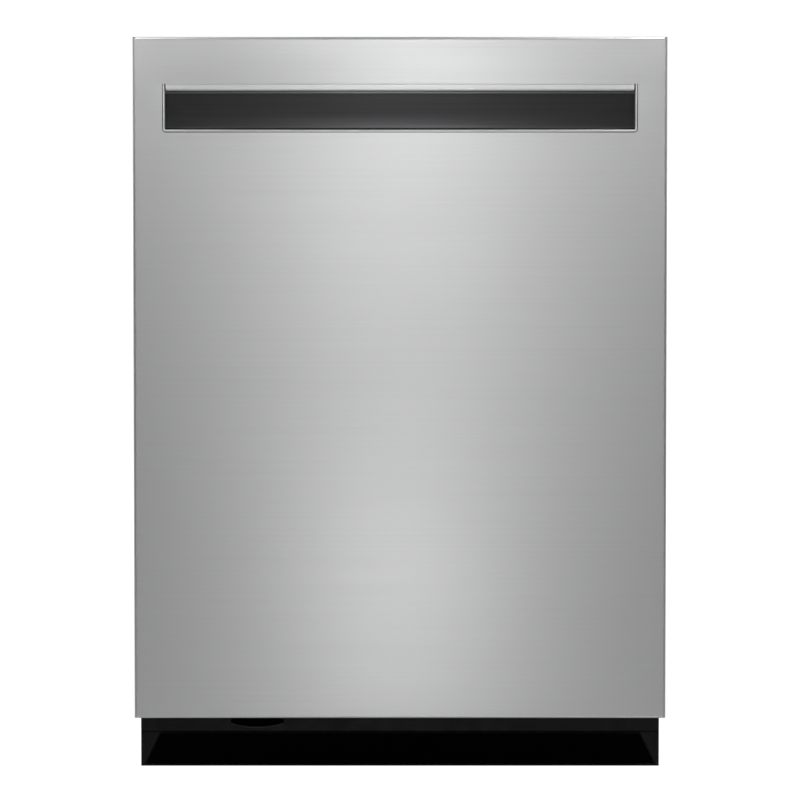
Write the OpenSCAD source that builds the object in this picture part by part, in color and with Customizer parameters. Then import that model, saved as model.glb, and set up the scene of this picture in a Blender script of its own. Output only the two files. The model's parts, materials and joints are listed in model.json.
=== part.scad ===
// Built-in dishwasher, 24 inch class, with a pocket handle and hidden controls.
// Frame: origin on the floor under the middle of the appliance, front towards -Y, +Z up, millimetres.

/* [Overall] */
// Width of the door, the widest piece
overall_w = 606; // [604:1:608]
// Height from the floor to the top of the door, with the legs screwed in
overall_h = 853; // [850:1:856]
// Depth from the face of the door to the back of the base frame
overall_d = 622; // [620:1:626]

/* [Door] */
// Height of the lower edge of the door above the floor
door_bottom = 77; // [76:0.5:78]
// Thickness from the outer face to the inner liner
door_t = 52; // [51:0.5:53]
// Radius of the folded edges of the outer panel
edge_r = 3.5; // [3:0.5:4]
// Height of the hinge pins above the floor
pivot_z = 118; // [117:0.5:119]

/* [Handle pocket] */
// Width of the opening
pocket_w = 539; // [520:1:542]
// Height of the opening
pocket_h = 55; // [50:1:56]
// Distance from the top of the door down to the opening
pocket_drop = 53.3; // [52:0.1:54]
// Depth of the pocket behind the face
pocket_depth = 30; // [26:1:31]
// Radius of the rolled lip that the fingers pull on
lip_r = 7; // [6:0.5:8]

/* [Tub and racks] */
// Half width of the tub, inside
tub_x = 278; // [277:0.5:278]
// Height of the tub floor
tub_floor = 132; // [132:0.5:133]
// Height of the tub ceiling, inside
tub_top = 836; // [834:0.5:836]
// Diameter of the coated rack wires
wire_d = 4.2; // [3.8:0.1:4.6]
// Diameter of the tines
tine_d = 3.4; // [3:0.1:3.6]

/* [Toe kick] */
// Set-back of the toe kick from the face of the door
kick_setback = 90; // [90:1:94]
// Gap between the toe kick and the floor
kick_gap = 10; // [8:1:12]

/* [Hidden] */

$fn = 32;
front = -overall_d / 2;
back = overall_d / 2;
door_x = overall_w / 2;
liner_y = front + door_t;          // face of the inner liner, towards the tub
pivot_y = front + 45;
access_top = 91;                   // the hinge brackets pass over the access panel
pocket_top = overall_h - pocket_drop;
pocket_bottom = pocket_top - pocket_h;
pocket_x = pocket_w / 2;
liner_x = door_x - 3;              // half width of the liner above the hinges
liner_low_x = 282;                 // half width of the liner beside the hinges
liner_step_z = 165;
console_bottom = overall_h - 36;

sheet = 1;                         // gauge of the tub and the frames
flange_y = liner_y + 5;            // front face of the tub's flange
tub_y0 = flange_y + 4;             // front end of the tub shell
tub_y1 = 280;                      // inside of the tub's back wall
tub_r = 12;                        // corner radius of the tub
frame_x = 298;                     // half width of the carcass
frame_top = overall_h - 4;
blanket_t = 8;
blanket_low = 175;

sump_c = [0, 10];                  // axis of the sump and of both spray arms
sump_r = 84;
filter_c = [45, -15];
filter_r = 30;
float_c = [-200, -190];
element_r = 150;
element_gap = 8;                   // half angle left open at the element's ends
lower_arm_z = 168;
upper_arm_z = 462;
manifold_z = 485.5;
riser_y = 268;
riser_z = 822;
arm_t = 13;

arm_x = 289.5;                     // inner face of the hinge arm plates
arm_plate = 3;
pin_r = 4;                         // hinge pin
lever_r = 40;                      // from the hinge pin to the balance pin
lever_pin = [pivot_y + lever_r * cos(45), pivot_z + lever_r * sin(45)];
rod_x = 291;                       // balance rod and spring, beside the tub
rod_z = 150;
anchor_y = -150;                   // spring anchor on the base frame
spring_len = 150;

rack_x = 250;
rack_y0 = -232;
rack_y1 = 240;
rack_rows = 13;                    // gaps between the racks' cross wires
low_tine_x = [for (i = [0:8]) -225 + 45 * i];
low_z = 200;                       // floor wires of the lower rack
low_rim = 330;
wheel_r = 20;
wheel_z = tub_floor + wheel_r + 0.5;
wheel_y = [-166, 160];
up_z = 495;                        // floor wires of the upper rack
up_rim = 612;
function row_y(i) = rack_y0 + 8 + i * (rack_y1 - rack_y0 - 16) / rack_rows;
wire_r = wire_d / 2;
wire_step = wire_d + 0.1;          // height from one layer of wires to the next
fold_y = row_y(9.5);               // folding tine row in the lower rack
fold_z = low_z + 9;
shelf_x = -238;                    // hinge line of the cup shelf
shelf_clip_y = [-155, 156];
shelf_z = 582;
basket_x = [147, 235];
basket_y = [-214, 196];

latch_pin = [liner_y - 11, tub_top - 13];
disp_x = [-140, 115];
disp_z = [372, 473];
cup_x = [-65, 10];
cup_z = [385, 460];
cap_c = [82, 422];                 // rinse-aid cap
vent_c = [-190, 700];
button_x = [-230, -190, -150, 190, 230];
hose_x = -292.2;                   // hoses beside the tub, left
fill_hose_y = [30, 90];
leg_x = 279;
leg_y = [-125, 285];
leg_r = 5;

// ---- Helpers ----

function arc(c, r, a0, a1, n = 8) =
    [for (i = [0:n]) c + r * [cos(a0 + (a1 - a0) * i / n), sin(a0 + (a1 - a0) * i / n)]];

// Outline of a rectangle with round corners, from its two corner points
function rounded(lo, hi, r, n = 6) = concat(
    arc([hi[0] - r, lo[1] + r], r, -90, 0, n), arc([hi[0] - r, hi[1] - r], r, 0, 90, n),
    arc([lo[0] + r, hi[1] - r], r, 90, 180, n), arc([lo[0] + r, lo[1] + r], r, 180, 270, n));

module block(x, y, z) translate([x[0], y[0], z[0]]) cube([x[1] - x[0], y[1] - y[0], z[1] - z[0]]);

// A profile drawn in Y and Z, extruded along X
module along_x(x) translate([x[0], 0, 0]) rotate([90, 0, 90]) linear_extrude(x[1] - x[0]) children();

// A profile drawn in X and Z, extruded along Y
module along_y(y) translate([0, y[1], 0]) rotate([90, 0, 0]) linear_extrude(y[1] - y[0]) children();

// A profile drawn in X and Y, extruded along Z
module along_z(z) translate([0, 0, z[0]]) linear_extrude(z[1] - z[0]) children();

module rod_along_x(x, y, z, r) translate([x[0], y, z]) rotate([0, 90, 0]) cylinder(h = x[1] - x[0], r = r);

module rod_along_y(x, y, z, r) translate([x, y[1], z]) rotate([90, 0, 0]) cylinder(h = y[1] - y[0], r = r);

module rod_along_z(x, y, z, r) translate([x, y, z[0]]) cylinder(h = z[1] - z[0], r = r);

module both_sides() {
    children();
    mirror([1, 0, 0]) children();
}

// Straight wire between two points, drawn as a six-sided bar
module wire(a, b, d = wire_d) {
    v = b - a;
    l = norm(v);
    translate(a)
        rotate([0, acos(v[2] / l), atan2(v[1], v[0])])
            cylinder(h = l, r = d / 2, $fn = 6);
}

// Points of a route with each corner rounded by a curve that starts r before it
function bend(a, b, c, r, n) =
    let (p = b + (a - b) * min(r, norm(a - b) / 2) / norm(a - b),
         q = b + (c - b) * min(r, norm(c - b) / 2) / norm(c - b))
    [for (i = [0:n]) let (t = i / n) (1 - t) * (1 - t) * p + 2 * t * (1 - t) * b + t * t * q];
function route(pts, r, n = 4) = [
    pts[0],
    for (i = [1:len(pts) - 2]) each bend(pts[i - 1], pts[i], pts[i + 1], r, n),
    pts[len(pts) - 1]];

// A closed tube swept along a route, one ring of flat sides at each point
function unit(v) = v / norm(v);
function heading(p, i) =
    unit(p[min(i + 1, len(p) - 1)] - p[max(i - 1, 0)]);
function side_of(t, s) = unit(s - t * (s * t));
function frames(p, s, i = 0) =
    i >= len(p) ? [] : let (t = heading(p, i), u = side_of(t, s)) concat([[u, cross(t, u)]], frames(p, u,
            i + 1));
module tube(pts, r, start = [0.3, 0.5, 0.81], sides = 8) {
    f = frames(pts, start);
    n = len(pts);
    ring_points = [
        for (i = [0:n - 1], k = [0:sides - 1])
            pts[i] + r * (f[i][0] * cos(360 * k / sides) + f[i][1] * sin(360 * k / sides))];
    walls = [
        for (i = [0:n - 2], k = [0:sides - 1])
            let (a = i * sides + k, b = i * sides + (k + 1) % sides) each [
                [a, a + sides, b + sides], [a, b + sides, b]]];
    caps = [[for (k = [0:sides - 1]) k], [for (k = [sides - 1:-1:0]) (n - 1) * sides + k]];
    polyhedron(points = ring_points, faces = concat(walls, caps));
}

// ---- Carcass ----

function tub_outline(grow) =
    rounded([-tub_x - grow, tub_floor - grow], [tub_x + grow, tub_top + grow], tub_r + grow);

module tub() color("silver") difference() {
    along_y([tub_y0, tub_y1 + sheet]) polygon(tub_outline(sheet));
    along_y([tub_y0 - 1, tub_y1]) polygon(tub_outline(0));
    rod_along_z(sump_c[0], sump_c[1], [tub_floor - 9, tub_floor + 1], sump_r);
    rod_along_z(0, riser_y, [tub_floor - 9, tub_floor + 1], 8.4);
    rod_along_z(float_c[0], float_c[1], [tub_floor - 9, tub_floor + 1], 6);
    both_sides() element_end() cylinder(h = 20, r = 4.4, center = true);
}

module element_end() translate([element_r * sin(element_gap), sump_c[1] + element_r * cos(element_gap),
        tub_floor])
    children();

// The flange round the tub's mouth, with the return that the brackets sit on and the latch strike
module front_frame() color("silver") {
    difference() {
        union() {
            along_y([flange_y, tub_y0]) polygon([
                [-284, tub_floor - 4], [284, tub_floor - 4], [284, 170], [frame_x, 170],
                [frame_x, frame_top], [-frame_x, frame_top], [-frame_x, 170], [-284, 170]]);
            block([-frame_x, frame_x], [tub_y0, tub_y0 + 18], [frame_top - 2, frame_top]);
        }
        along_y([flange_y - 1, tub_y0 + 1]) polygon(tub_outline(0));
    }
    both_sides() {
        block([10, 12], [flange_y, tub_y0], [tub_top - 22, tub_top + 2]);
        block([10, 12], [flange_y, -238], [tub_top - 22, tub_top - 0.4]);
    }
    rod_along_x([-11, 11], -243, tub_top - 14, 2.5);
}

module door_gasket() color("dimgray") along_y([liner_y + 0.4, flange_y]) difference() {
    polygon(rounded([-292, 150], [292, 842], 14));
    polygon(rounded([-284, 140], [284, 839], 8));
    translate([-300, 140]) square([600, 32]);
}

module sound_blanket() color("darkslategray") {
    x0 = tub_x + sheet + 0.4;
    z1 = tub_top + sheet + 0.4;
    difference() {
        along_y([-228, tub_y1 + sheet + 0.2])
            polygon(rounded([-x0 - blanket_t, blanket_low], [x0 + blanket_t, z1 + blanket_t], 5));
        along_y([-229, tub_y1 + sheet + 1]) {
            polygon(rounded([-x0, blanket_low - 30], [x0, z1], 12));
        }
    }
    along_y([tub_y1 + sheet + 0.2, tub_y1 + sheet + 0.2 + blanket_t])
        polygon(rounded([-x0 - blanket_t, blanket_low], [x0 + blanket_t, z1 + blanket_t], 5));
}

module leg_hole(x, y) rod_along_z(x, y, [40, 60], leg_r + 0.3);

// Side channels, cross members, leg nuts and the anchors of the balance springs
module base_frame() color("lightsteelblue") {
    top = tub_floor - sheet;
    both_sides() {
        difference() {
            union() {
                block([frame_x - 2, frame_x], [-200, back - 8], [45, top]);
                block([262, frame_x - 2], [-200, back - 8], [45, 47]);
                block([262, frame_x - 2], [-200, tub_y1], [top - 2, top]);
                for (y = leg_y) rod_along_z(leg_x, y, [47, 56], 9);
            }
            for (y = leg_y) leg_hole(leg_x, y);
            for (y = fill_hose_y) block([-hose_x - 5, -hose_x + 3.8], [y - 5, y + 5], [top - 3, top + 1]);
        }
        difference() {
            block([284, frame_x], [anchor_y, anchor_y + 3], [top - 1, 162]);
            rod_along_y(rod_x, [anchor_y - 1, anchor_y + 4], rod_z, 3.2);
        }
    }
    block([-262, 262], [-200, -198], [45, 105]);
    block([-frame_x, frame_x], [back - 8, back - 6], [45, 72]);
    block([-262, 262], [back - 22, back - 8], [45, 47]);
    both_sides() block([frame_x - 12, frame_x], [back - 6, back], [45, 72]);
}

module base_pan() color("dimgray") difference() {
    union() {
        block([-252, 252], [-112, 288], [30, 45]);
        block([-262, 262], [-112, 288], [43, 45]);
    }
    block([-250, 250], [-110, 286], [32, 46]);
}

module sump() color("gray") translate([sump_c[0], sump_c[1], 0]) {
    difference() {
        union() {
            rod_along_z(0, 0, [tub_floor - sheet - 4, tub_floor - sheet], 98);
            translate([0, 0, 58]) cylinder(h = tub_floor - sheet - 61, r = sump_r + 3, $fn = 12);
            rod_along_x([60, 92], 0, 85, 22);
            rotate([0, 0, 135]) rod_along_x([82, 95], 0, 90, 7);
        }
        translate([0, 0, 61]) cylinder(h = tub_floor - 61, r = sump_r, $fn = 12);
        rod_along_x([60, 93], 0, 85, 18);
    }
    // Post that carries and feeds the lower spray arm
    difference() {
        rod_along_z(0, 0, [60, lower_arm_z + 9], 11);
        rod_along_z(0, 0, [72, lower_arm_z + 10], 7);
    }
}

module circulation_pump() color("dimgray") {
    rod_along_x([92, 118], sump_c[1], 85, 34);
    rod_along_x([118, 196], sump_c[1], 85, 37);
    for (x = [128:12:188]) rod_along_x([x, x + 4], sump_c[1], 85, 39.5);
    rod_along_x([196, 204], sump_c[1], 85, 14);
    block([120, 150], [sump_c[1] - 20, sump_c[1] + 36], [106, 128]);
    block([125, 135], [sump_c[1] - 4, sump_c[1] + 4], [45.2, 60]);
    block([180, 190], [sump_c[1] - 4, sump_c[1] + 4], [45.2, 60]);
    block([115, 200], [sump_c[1] - 16, sump_c[1] + 16], [32, 45.2]);
}

module drain_pump() color("darkgray") translate([-150, 0, 0]) {
    rod_along_y(0, [150, 176], 82, 30);
    rod_along_y(0, [176, 226], 82, 24);
    block([-14, 14], [180, 222], [102, 112]);
    block([-20, 20], [152, 172], [32, 60]);
    rod_along_z(0, 163, [108, 122], 9);
    // Outlet nipple for the drain hose, on the back of the base
    difference() {
        union() {
            rod_along_y(40, [222, back - 2], 96, 10);
            block([8, 46], [196, 222], [76, 106]);
        }
        rod_along_y(40, [240, back - 1], 96, 7.5);
    }
}

module inlet_valve() color("white") translate([-220, -150, 0]) {
    block([-20, 20], [-16, 16], [62, 84]);
    rod_along_z(-8, 0, [84, 108], 10);
    rod_along_z(12, 0, [84, 104], 8);
    // Threaded inlet for the water hose, 3/4 inch
    difference() {
        rod_along_z(0, 0, [40, 62], 13.2);
        rod_along_z(0, 0, [39, 60], 9.5);
    }
    rod_along_x([-46, -20], 0, 74, 5);
    block([-44, -38], [-16, 16], [47, 84]);
}

module junction_box() color("lightsteelblue") {
    difference() {
        block([184, 256], [-190, -124], [60, 108]);
        block([185.5, 254.5], [-188.5, -125.5], [61.5, 106.5]);
        rod_along_z(220, -157, [59, 62.5], 11);
    }
    block([182, 258], [-192, -190], [58, 110]);
    block([256, 258], [-180, -150], [47, 62]);
    block([256, 272], [-180, -150], [47, 49]);
}

module heating_element() color("slategray") {
    translate([sump_c[0], sump_c[1], tub_floor + 16])
        rotate([0, 0, 90 + element_gap])
            rotate_extrude(angle = 360 - 2 * element_gap)
                translate([element_r, 0]) circle(r = 4);
    both_sides() element_end() translate([0, 0, -14]) cylinder(h = 30.5, r = 4.2);
    both_sides() translate([element_r * 0.7071, sump_c[1] - element_r * 0.7071, tub_floor])
        cylinder(h = 15, r = 2.5);
}

// Riser at the back of the tub, the port for the upper rack, and the top sprayer
module feed_tube() color("gray") {
    rod_along_z(0, riser_y, [112, riser_z], 8);
    rod_along_y(0, [sump_c[1], riser_y], riser_z, 8);
    for (y = [sump_c[1], riser_y]) translate([0, y, riser_z]) sphere(r = 9.5);
    rod_along_y(0, [250.5, 265], manifold_z, 12);
    rod_along_z(0, 10, [806, 817], 22);
    for (a = [0:60:300]) rotate_about(sump_c, a) rod_along_z(15, 0, [803, 807], 2.5);
    both_sides() block([6, 12], [262, 280], [640, 656]);
}

module rotate_about(c, a) translate([c[0], c[1], 0]) rotate([0, 0, a]) children();

module fill_funnel() color("lightgray") {
    difference() {
        along_x([-297.5, -288.2]) polygon(rounded([-60, 330], [120, 640], 22));
        for (z = [380:44:600]) along_x([-298, -293]) polygon(rounded([-30, z], [88, z + 26], 8));
    }
    for (y = fill_hose_y) rod_along_z(hose_x, y, [312, 331], 3.6);
}

module filter_screen() color("silver") difference() {
    rod_along_z(sump_c[0], sump_c[1], [tub_floor + 0.2, tub_floor + 1.6], 118);
    rod_along_z(sump_c[0], sump_c[1], [tub_floor - 1, tub_floor + 3], 11.3);
    rod_along_z(filter_c[0], filter_c[1], [tub_floor - 1, tub_floor + 3], filter_r + 0.5);
}

// Forward arms of the hinge, each with its riveted pin
module hinge_brackets() color("lightsteelblue") both_sides() {
    along_x([arm_x - 4, arm_x - 1]) polygon(concat(
        arc([pivot_y, pivot_z], 9, 90, 250, 10), [[-190, 92], [-150, 92], [-150, 127]]));
    block([arm_x - 4, frame_x - 2], [-196, -150], [92, 95]);
    rod_along_x([arm_x - 2, arm_x + arm_plate + 3], pivot_y, pivot_z, pin_r);
}

module notch_outline() {
    r = 110;
    polygon(concat([[-196, 80], [-196, 60]], arc([-165.5, 56 + r], r, 254, 286, 10), [[-135, 60], [-135,
            80]]));
}

module access_panel() color("#151515") {
    y = front + kick_setback;
    z0 = kick_gap + 40.3;
    difference() {
        union() {
            block([-300, 300], [y, y + 2.5], [z0, access_top]);
            both_sides() block([297.5, 300], [y, y + 18], [z0, access_top]);
            block([-200, -130], [y, y + 9], [z0 + 1, access_top - 4]);
        }
        along_y([y - 1, y + 7]) notch_outline();
    }
    // Tabs that clip to the front cross member
    both_sides() block([110, 130], [y + 2.5, -200], [access_top - 6, access_top - 3]);
}

module toe_panel() color("#0c0c0c") {
    y = front + kick_setback;
    z0 = kick_gap;
    z1 = kick_gap + 40;
    difference() {
        union() {
            block([-300, 300], [y, y + 5], [z0, z1]);
            both_sides() block([297.5, 300], [y, y + 18], [z0, z1]);
            both_sides() block([120, 140], [y + 5, -200], [z1 - 5, z1 - 2]);
        }
        hull() {
            along_y([y - 0.2, y]) polygon([[-296, z0 + 2], [296, z0 + 2], [278, z1 - 0.8], [-278, z1 - 0.8]]);
            along_y([y + 2, y + 2.6]) polygon([[-293, z0 + 3], [293, z0 + 3], [276, z1 - 3], [-276, z1 - 3]]);
        }
    }
}

module mounting_brackets() color("silver") for (s = [-1, 1]) translate([s * 150, 0, 0]) difference() {
    union() {
        along_z([frame_top, frame_top + 2]) polygon(rounded([-15, -248], [15, -198], 4));
        block([-15, 15], [tub_y0 + 18.4, tub_y0 + 20], [frame_top - 1.2, frame_top]);
    }
    rod_along_z(0, -210, [frame_top - 1, frame_top + 3], 2.5);
}

module fixed_rails() color("silver") both_sides() {
    block([276.2, tub_x], [-235, 250], [560, 592]);
    block([268, 276.2], [-235, 250], [590.4, 592]);
    block([268, 276.2], [-235, 250], [560, 561.6]);
    block([268, tub_x], [250, 252], [560, 592]);
}

module mid_rails() color("gainsboro") both_sides() {
    block([274, 275.6], [-233, 237], [562.4, 589.6]);
    block([266, 274], [-233, 237], [588, 589.6]);
    block([266, 274], [-233, 237], [562.4, 564]);
}

// Valve to the fill funnel, funnel to the sump, sump to the drain pump, wash pump to the riser
module internal_hoses() color("dimgray") {
    top = 311.5;
    tube(route([[-208, -150, 104.3], [-208, -150, 118], [-225, -85, 119], [-283, -40, 112],
        [hose_x, fill_hose_y[0], 100], [hose_x, fill_hose_y[0], top]], 14), 3.5);
    tube(route([[hose_x, fill_hose_y[1], top], [hose_x, fill_hose_y[1], 100], [-250, 60, 98],
        [-180, 10, 105], [-87.5, 10, 105]], 22), 3.5);
    tube(route([[-67.5, 77.5, 90], [-98, 108, 90], [-150, 120, 96], [-150, 149.8, 96]], 24), 8.5);
    tube(route([[135, sump_c[1] + 36.2, 117], [135, 130, 116], [60, 200, 100], [0, riser_y, 90], [0,
            riser_y, 111.8]], 30), 7.6);
}

// ---- Door balance ----

// Compression springs that the balance rods pull through
module balance_springs() color("gray") both_sides() {
    turns = 11;
    steps = 8;
    y0 = anchor_y + 4.6;
    y1 = anchor_y + spring_len + 2.2;
    tube([for (i = [0:turns * steps]) let (a = 360 * i / steps)
        [rod_x + 5.2 * cos(a), y0 + (y1 - y0) * i / (turns * steps), rod_z + 5.2 * sin(a)]], 1.2, [0, 1,
                0], 5);
}

module balance_rods() color("silver") both_sides() {
    difference() {
        block([arm_x + 3.6, arm_x + 6.6], [lever_pin[0] - 9, lever_pin[0] + 26], [rod_z - 12, rod_z + 16]);
        along_x([arm_x + 3, arm_x + 7])
            polygon(rounded([lever_pin[0] - 4.4, rod_z - 7.5], [lever_pin[0] + 4.4, rod_z + 12], 4));
    }
    rod_along_y(rod_x, [lever_pin[0] + 14, anchor_y + spring_len + 14], rod_z, 2.6);
    rod_along_y(rod_x, [anchor_y + spring_len + 3.6, anchor_y + spring_len + 9], rod_z, 6.5);
}

// ---- Legs ----

module leg(x, y) color("darkgray") {
    rod_along_z(x, y, [6, 118], leg_r);
    rod_along_z(x, y, [0, 7], 17);
    translate([x, y, 7]) cylinder(h = 9, r = 9, $fn = 6);
}

// ---- Wash system ----

module float_cap() color("gray") translate([float_c[0], float_c[1], 0]) {
    difference() {
        translate([0, 0, tub_floor + 1]) cylinder(h = 26, r = 22, $fn = 12);
        translate([0, 0, tub_floor]) cylinder(h = 24, r = 19.5, $fn = 12);
    }
    translate([0, 0, tub_floor - 18]) cylinder(h = 43, r = 4, $fn = 12);
}

module filter_cup() color("dimgray") translate([filter_c[0], filter_c[1], 0]) {
    difference() {
        translate([0, 0, 66]) cylinder(h = tub_floor - 61, r = filter_r, $fn = 12);
        translate([0, 0, 69]) cylinder(h = tub_floor - 61, r = filter_r - 2.5, $fn = 12);
    }
    block([-filter_r + 1, filter_r - 1], [-3, 3], [tub_floor, tub_floor + 5]);
    block([-10, 10], [-3, 3], [tub_floor + 4, tub_floor + 20]);
}

// A hollow two-ended arm, with its hub and raised nozzles
module spray_arm(l, z, hub_low, hub_high) {
    centre = 31;
    tip = 17;
    difference() {
        along_z([z, z + arm_t]) polygon(concat(
            arc([l, 0], tip, -84, 84, 10), arc([0, 0], centre, 78, 102, 4),
            arc([-l, 0], tip, 96, 264, 10), arc([0, 0], centre, 258, 282, 4)));
        rod_along_z(0, 0, [z - 1, z + arm_t - 3], 12);
    }
    difference() {
        rod_along_z(0, 0, [z - hub_low, z + 1], 19);
        rod_along_z(0, 0, [z - hub_low - 1, z + 2], 12);
    }
    rod_along_z(0, 0, [z + arm_t - 1, z + arm_t + hub_high], 16);
    for (s = [-1, 1], i = [0:4])
        translate([s * (52 + i * (l - 56) / 4), s * (6 - 2 * i), z + arm_t - 0.5]) cylinder(h = 2, r = 4);
}

module lower_spray_arm() color("gray") translate([sump_c[0], sump_c[1], 0])
    spray_arm(214, lower_arm_z, 10, 3);

module upper_spray_arm() color("gray") translate([sump_c[0], sump_c[1], 0])
    difference() {
        spray_arm(204, upper_arm_z, 4, 1);
        rod_along_z(0, 0, [upper_arm_z - 5, upper_arm_z + 20], 12);
    }

// ---- Door ----

function plan_outline(g) = let (x = door_x - g, y0 = front + g, r = edge_r - g)
    concat([[x, front + 24]], [[-x, front + 24]], arc([-x + r, y0 + r], r, 180, 270, 5), arc([x - r,
            y0 + r], r, 270, 360, 5));

function side_outline(g) = let (y0 = front + g, z0 = door_bottom + g, z1 = overall_h - g, r = edge_r - g)
    concat([[front + 30, z0], [front + 30, z1]], arc([y0 + r, z1 - r], r, 90, 180, 5), arc([y0 + 2,
            z0 + 2], 2, 180, 270, 3));

// Folded outer skin: face, side, top and bottom returns, and the turned-in edges of the pocket
module door_panel() color("silver") {
    t = 1;
    difference() {
        intersection() {
            along_z([door_bottom, overall_h]) polygon(plan_outline(0));
            along_x([-door_x, door_x]) polygon(side_outline(0));
        }
        intersection() {
            along_z([door_bottom + t, overall_h - t]) polygon(plan_outline(t));
            along_x([-door_x + t, door_x - t]) polygon(side_outline(t));
            block([-door_x, door_x], [front, front + 40], [0, overall_h]);
        }
        block([-door_x + t, door_x - t], [front + 9, front + 40], [overall_h - 5, overall_h + 1]);
        block([-door_x + t, door_x - t], [front + 18, front + 40], [door_bottom - 1, door_bottom + 5]);
        along_y([front - 1, front + 3]) polygon(rounded([-pocket_x, pocket_bottom], [pocket_x, pocket_top],
                4));
    }
    pocket_flanges(t);
}

module pocket_flanges(t) {
    r = 3.4;
    bead = concat(arc([front + r, 0], r, 180, 90, 5), [[front + 7, r], [front + 7, r - t]],
        arc([front + r, 0], r - t, 90, 180, 5));
    difference() {
        union() {
            along_x([-pocket_x, pocket_x]) translate([0, pocket_bottom]) polygon([for (p = bead) [p[0],
                    p[1]]]);
            both_sides() along_z([pocket_bottom, pocket_top])
                polygon([for (p = bead) [pocket_x - p[1], p[0]]]);
        }
        block([-pocket_x + r - t, pocket_x - r + t], [front - 1, front + 3], [pocket_bottom + r,
                pocket_top + 2]);
    }
    // Rolled grip lip
    along_x([-pocket_x + 4, pocket_x - 4]) polygon(concat(
        arc([front + lip_r, pocket_top], lip_r, 180, 300, 9),
        arc([front + lip_r, pocket_top], lip_r - t, 300, 180, 9)));
}

// Inside of the pocket: top behind the lip, back wall, and the foot of the wall that leans forward
function pocket_outline(g) = let (y1 = front + pocket_depth + g, z0 = pocket_bottom + 2.4 - g,
        r = 5 + g) concat(
    [[front + 5, z0]],
    arc([y1 - 6 - r, z0 + r], r, -90, -20, 4), [[y1 - 2.2, z0 + 18], [y1, z0 + 32]],
    arc([y1 - 6, pocket_top + 7 + g - 6], 6, 0, 90, 4),
    [[front + 9.4 - g, pocket_top + 7 + g], [front + 9.4 - g, pocket_top + 2]]);

module handle_pocket() color("#3a3a3a") difference() {
    along_x([-pocket_x, pocket_x]) polygon(pocket_outline(2));
    along_x([-pocket_x + 2, pocket_x - 2]) polygon(pocket_outline(0));
    block([-pocket_x - 1, pocket_x + 1], [front, front + 9.3], [pocket_bottom - 1, pocket_top + 2.5]);
    block([-pocket_x + 2, pocket_x - 2], [front, front + 14], [pocket_bottom + 2.4, pocket_top - 2]);
}

module liner_outline(g) {
    top = overall_h - 5 - g;
    polygon([[-liner_low_x + g, 100 + g], [liner_low_x - g, 100 + g], [liner_low_x - g, liner_step_z + g],
        [liner_x - g, liner_step_z + g], [liner_x - g, top], [-liner_x + g, top],
        [-liner_x + g, liner_step_z + g], [-liner_low_x + g, liner_step_z + g]]);
}

screw_z = [for (i = [0:4]) 200 + i * 150];
screw_x = 296;

module inner_liner() color("silver") difference() {
    union() {
        along_y([liner_y - 1, liner_y]) liner_outline(0);
        difference() {
            along_y([front + 24.2, liner_y - 0.5]) liner_outline(0);
            along_y([front + 23, liner_y]) liner_outline(1);
            block([-310, 310], [front, liner_y - 1], [console_bottom - 4, overall_h]);
        }
    }
    block([disp_x[0] + 2, disp_x[1] - 2], [liner_y - 2, liner_y + 1], [disp_z[0] + 2, disp_z[1] - 2]);
    rod_along_y(vent_c[0], [liner_y - 2, liner_y + 1], vent_c[1], 32);
    block([-9, 9], [liner_y - 2, liner_y + 1], [tub_top - 29, tub_top - 2]);
    both_sides() block([arm_x - 0.5, arm_x + arm_plate + 0.5], [-290, -261.4], [liner_step_z - 1,
            liner_step_z + 3]);
    both_sides() for (z = screw_z) rod_along_y(screw_x, [liner_y - 2, liner_y + 1], z, 1.7);
}

module door_screws() color("gainsboro") both_sides() for (z = screw_z) {
    rod_along_y(screw_x, [liner_y, liner_y + 1.7], z, 3.3);
    rod_along_y(screw_x, [liner_y - 9, liner_y + 0.5], z, 1.5);
}

module door_insulation() color("dimgray")
    along_y([front + 4, front + 20]) polygon(rounded([-284, 172], [284, 724], 6));

module button_slot(x, g) along_z([overall_h - 4, overall_h + 1])
    polygon(rounded([x - 12 - g, front + 22 - g], [x + 12 + g, front + 36 + g], 3 + g));

module console() color("#1c1c1c") difference() {
    x = door_x - 5;
    y0 = front + 9.2;
    y1 = liner_y - 1.2;
    block([-x, x], [y0, y1], [console_bottom, overall_h - 0.6]);
    block([-x + 2, x - 2], [y0 + 2, y1 - 2], [console_bottom - 1, overall_h - 2.6]);
    for (b = button_x) button_slot(b, 0.4);
    along_z([overall_h - 3, overall_h]) polygon(rounded([-95, front + 21], [95, front + 37], 3));
    block([-12, 12], [liner_y - 9, liner_y], [console_bottom - 1, overall_h - 8]);
}

module control_board() color("seagreen") {
    y0 = front + 14;
    y1 = liner_y - 6;
    difference() {
        block([-262, 262], [y0, y1], [overall_h - 14, overall_h - 12.4]);
        block([-24, 24], [liner_y - 22, liner_y], [overall_h - 16, overall_h - 10]);
    }
    for (x = button_x) block([x - 4, x + 4], [front + 25, front + 33], [overall_h - 12.4, overall_h - 10.2]);
    block([-80, 80], [front + 23, front + 35], [overall_h - 12.4, overall_h - 5.4]);
    both_sides() block([110, 140], [front + 18, front + 38], [overall_h - 20, overall_h - 14]);
}

module status_lens() color("#202428") along_z([overall_h - 4.6, overall_h - 0.5])
    polygon(rounded([-94.6, front + 21.4], [94.6, front + 36.6], 2.8));

module button(x) color("#2a2a2a") {
    along_z([overall_h - 8.6, overall_h]) polygon(rounded([x - 12, front + 22], [x + 12, front + 36], 3));
}

module latch_housing() color("dimgray") {
    y0 = front + 34;
    y1 = liner_y - 3.4;
    z1 = tub_top - 32;
    difference() {
        block([-34, 34], [y0, y1], [z1 - 34, z1]);
        block([-32, 32], [y0 + 1.6, y1 - 1.6], [z1 - 32, z1 - 1.6]);
    }
    both_sides() block([5, 7.5], [liner_y - 17.9, y1], [z1 - 1, tub_top - 6]);
    rod_along_x([-6, 6], latch_pin[0], latch_pin[1], 2);
}

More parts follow.
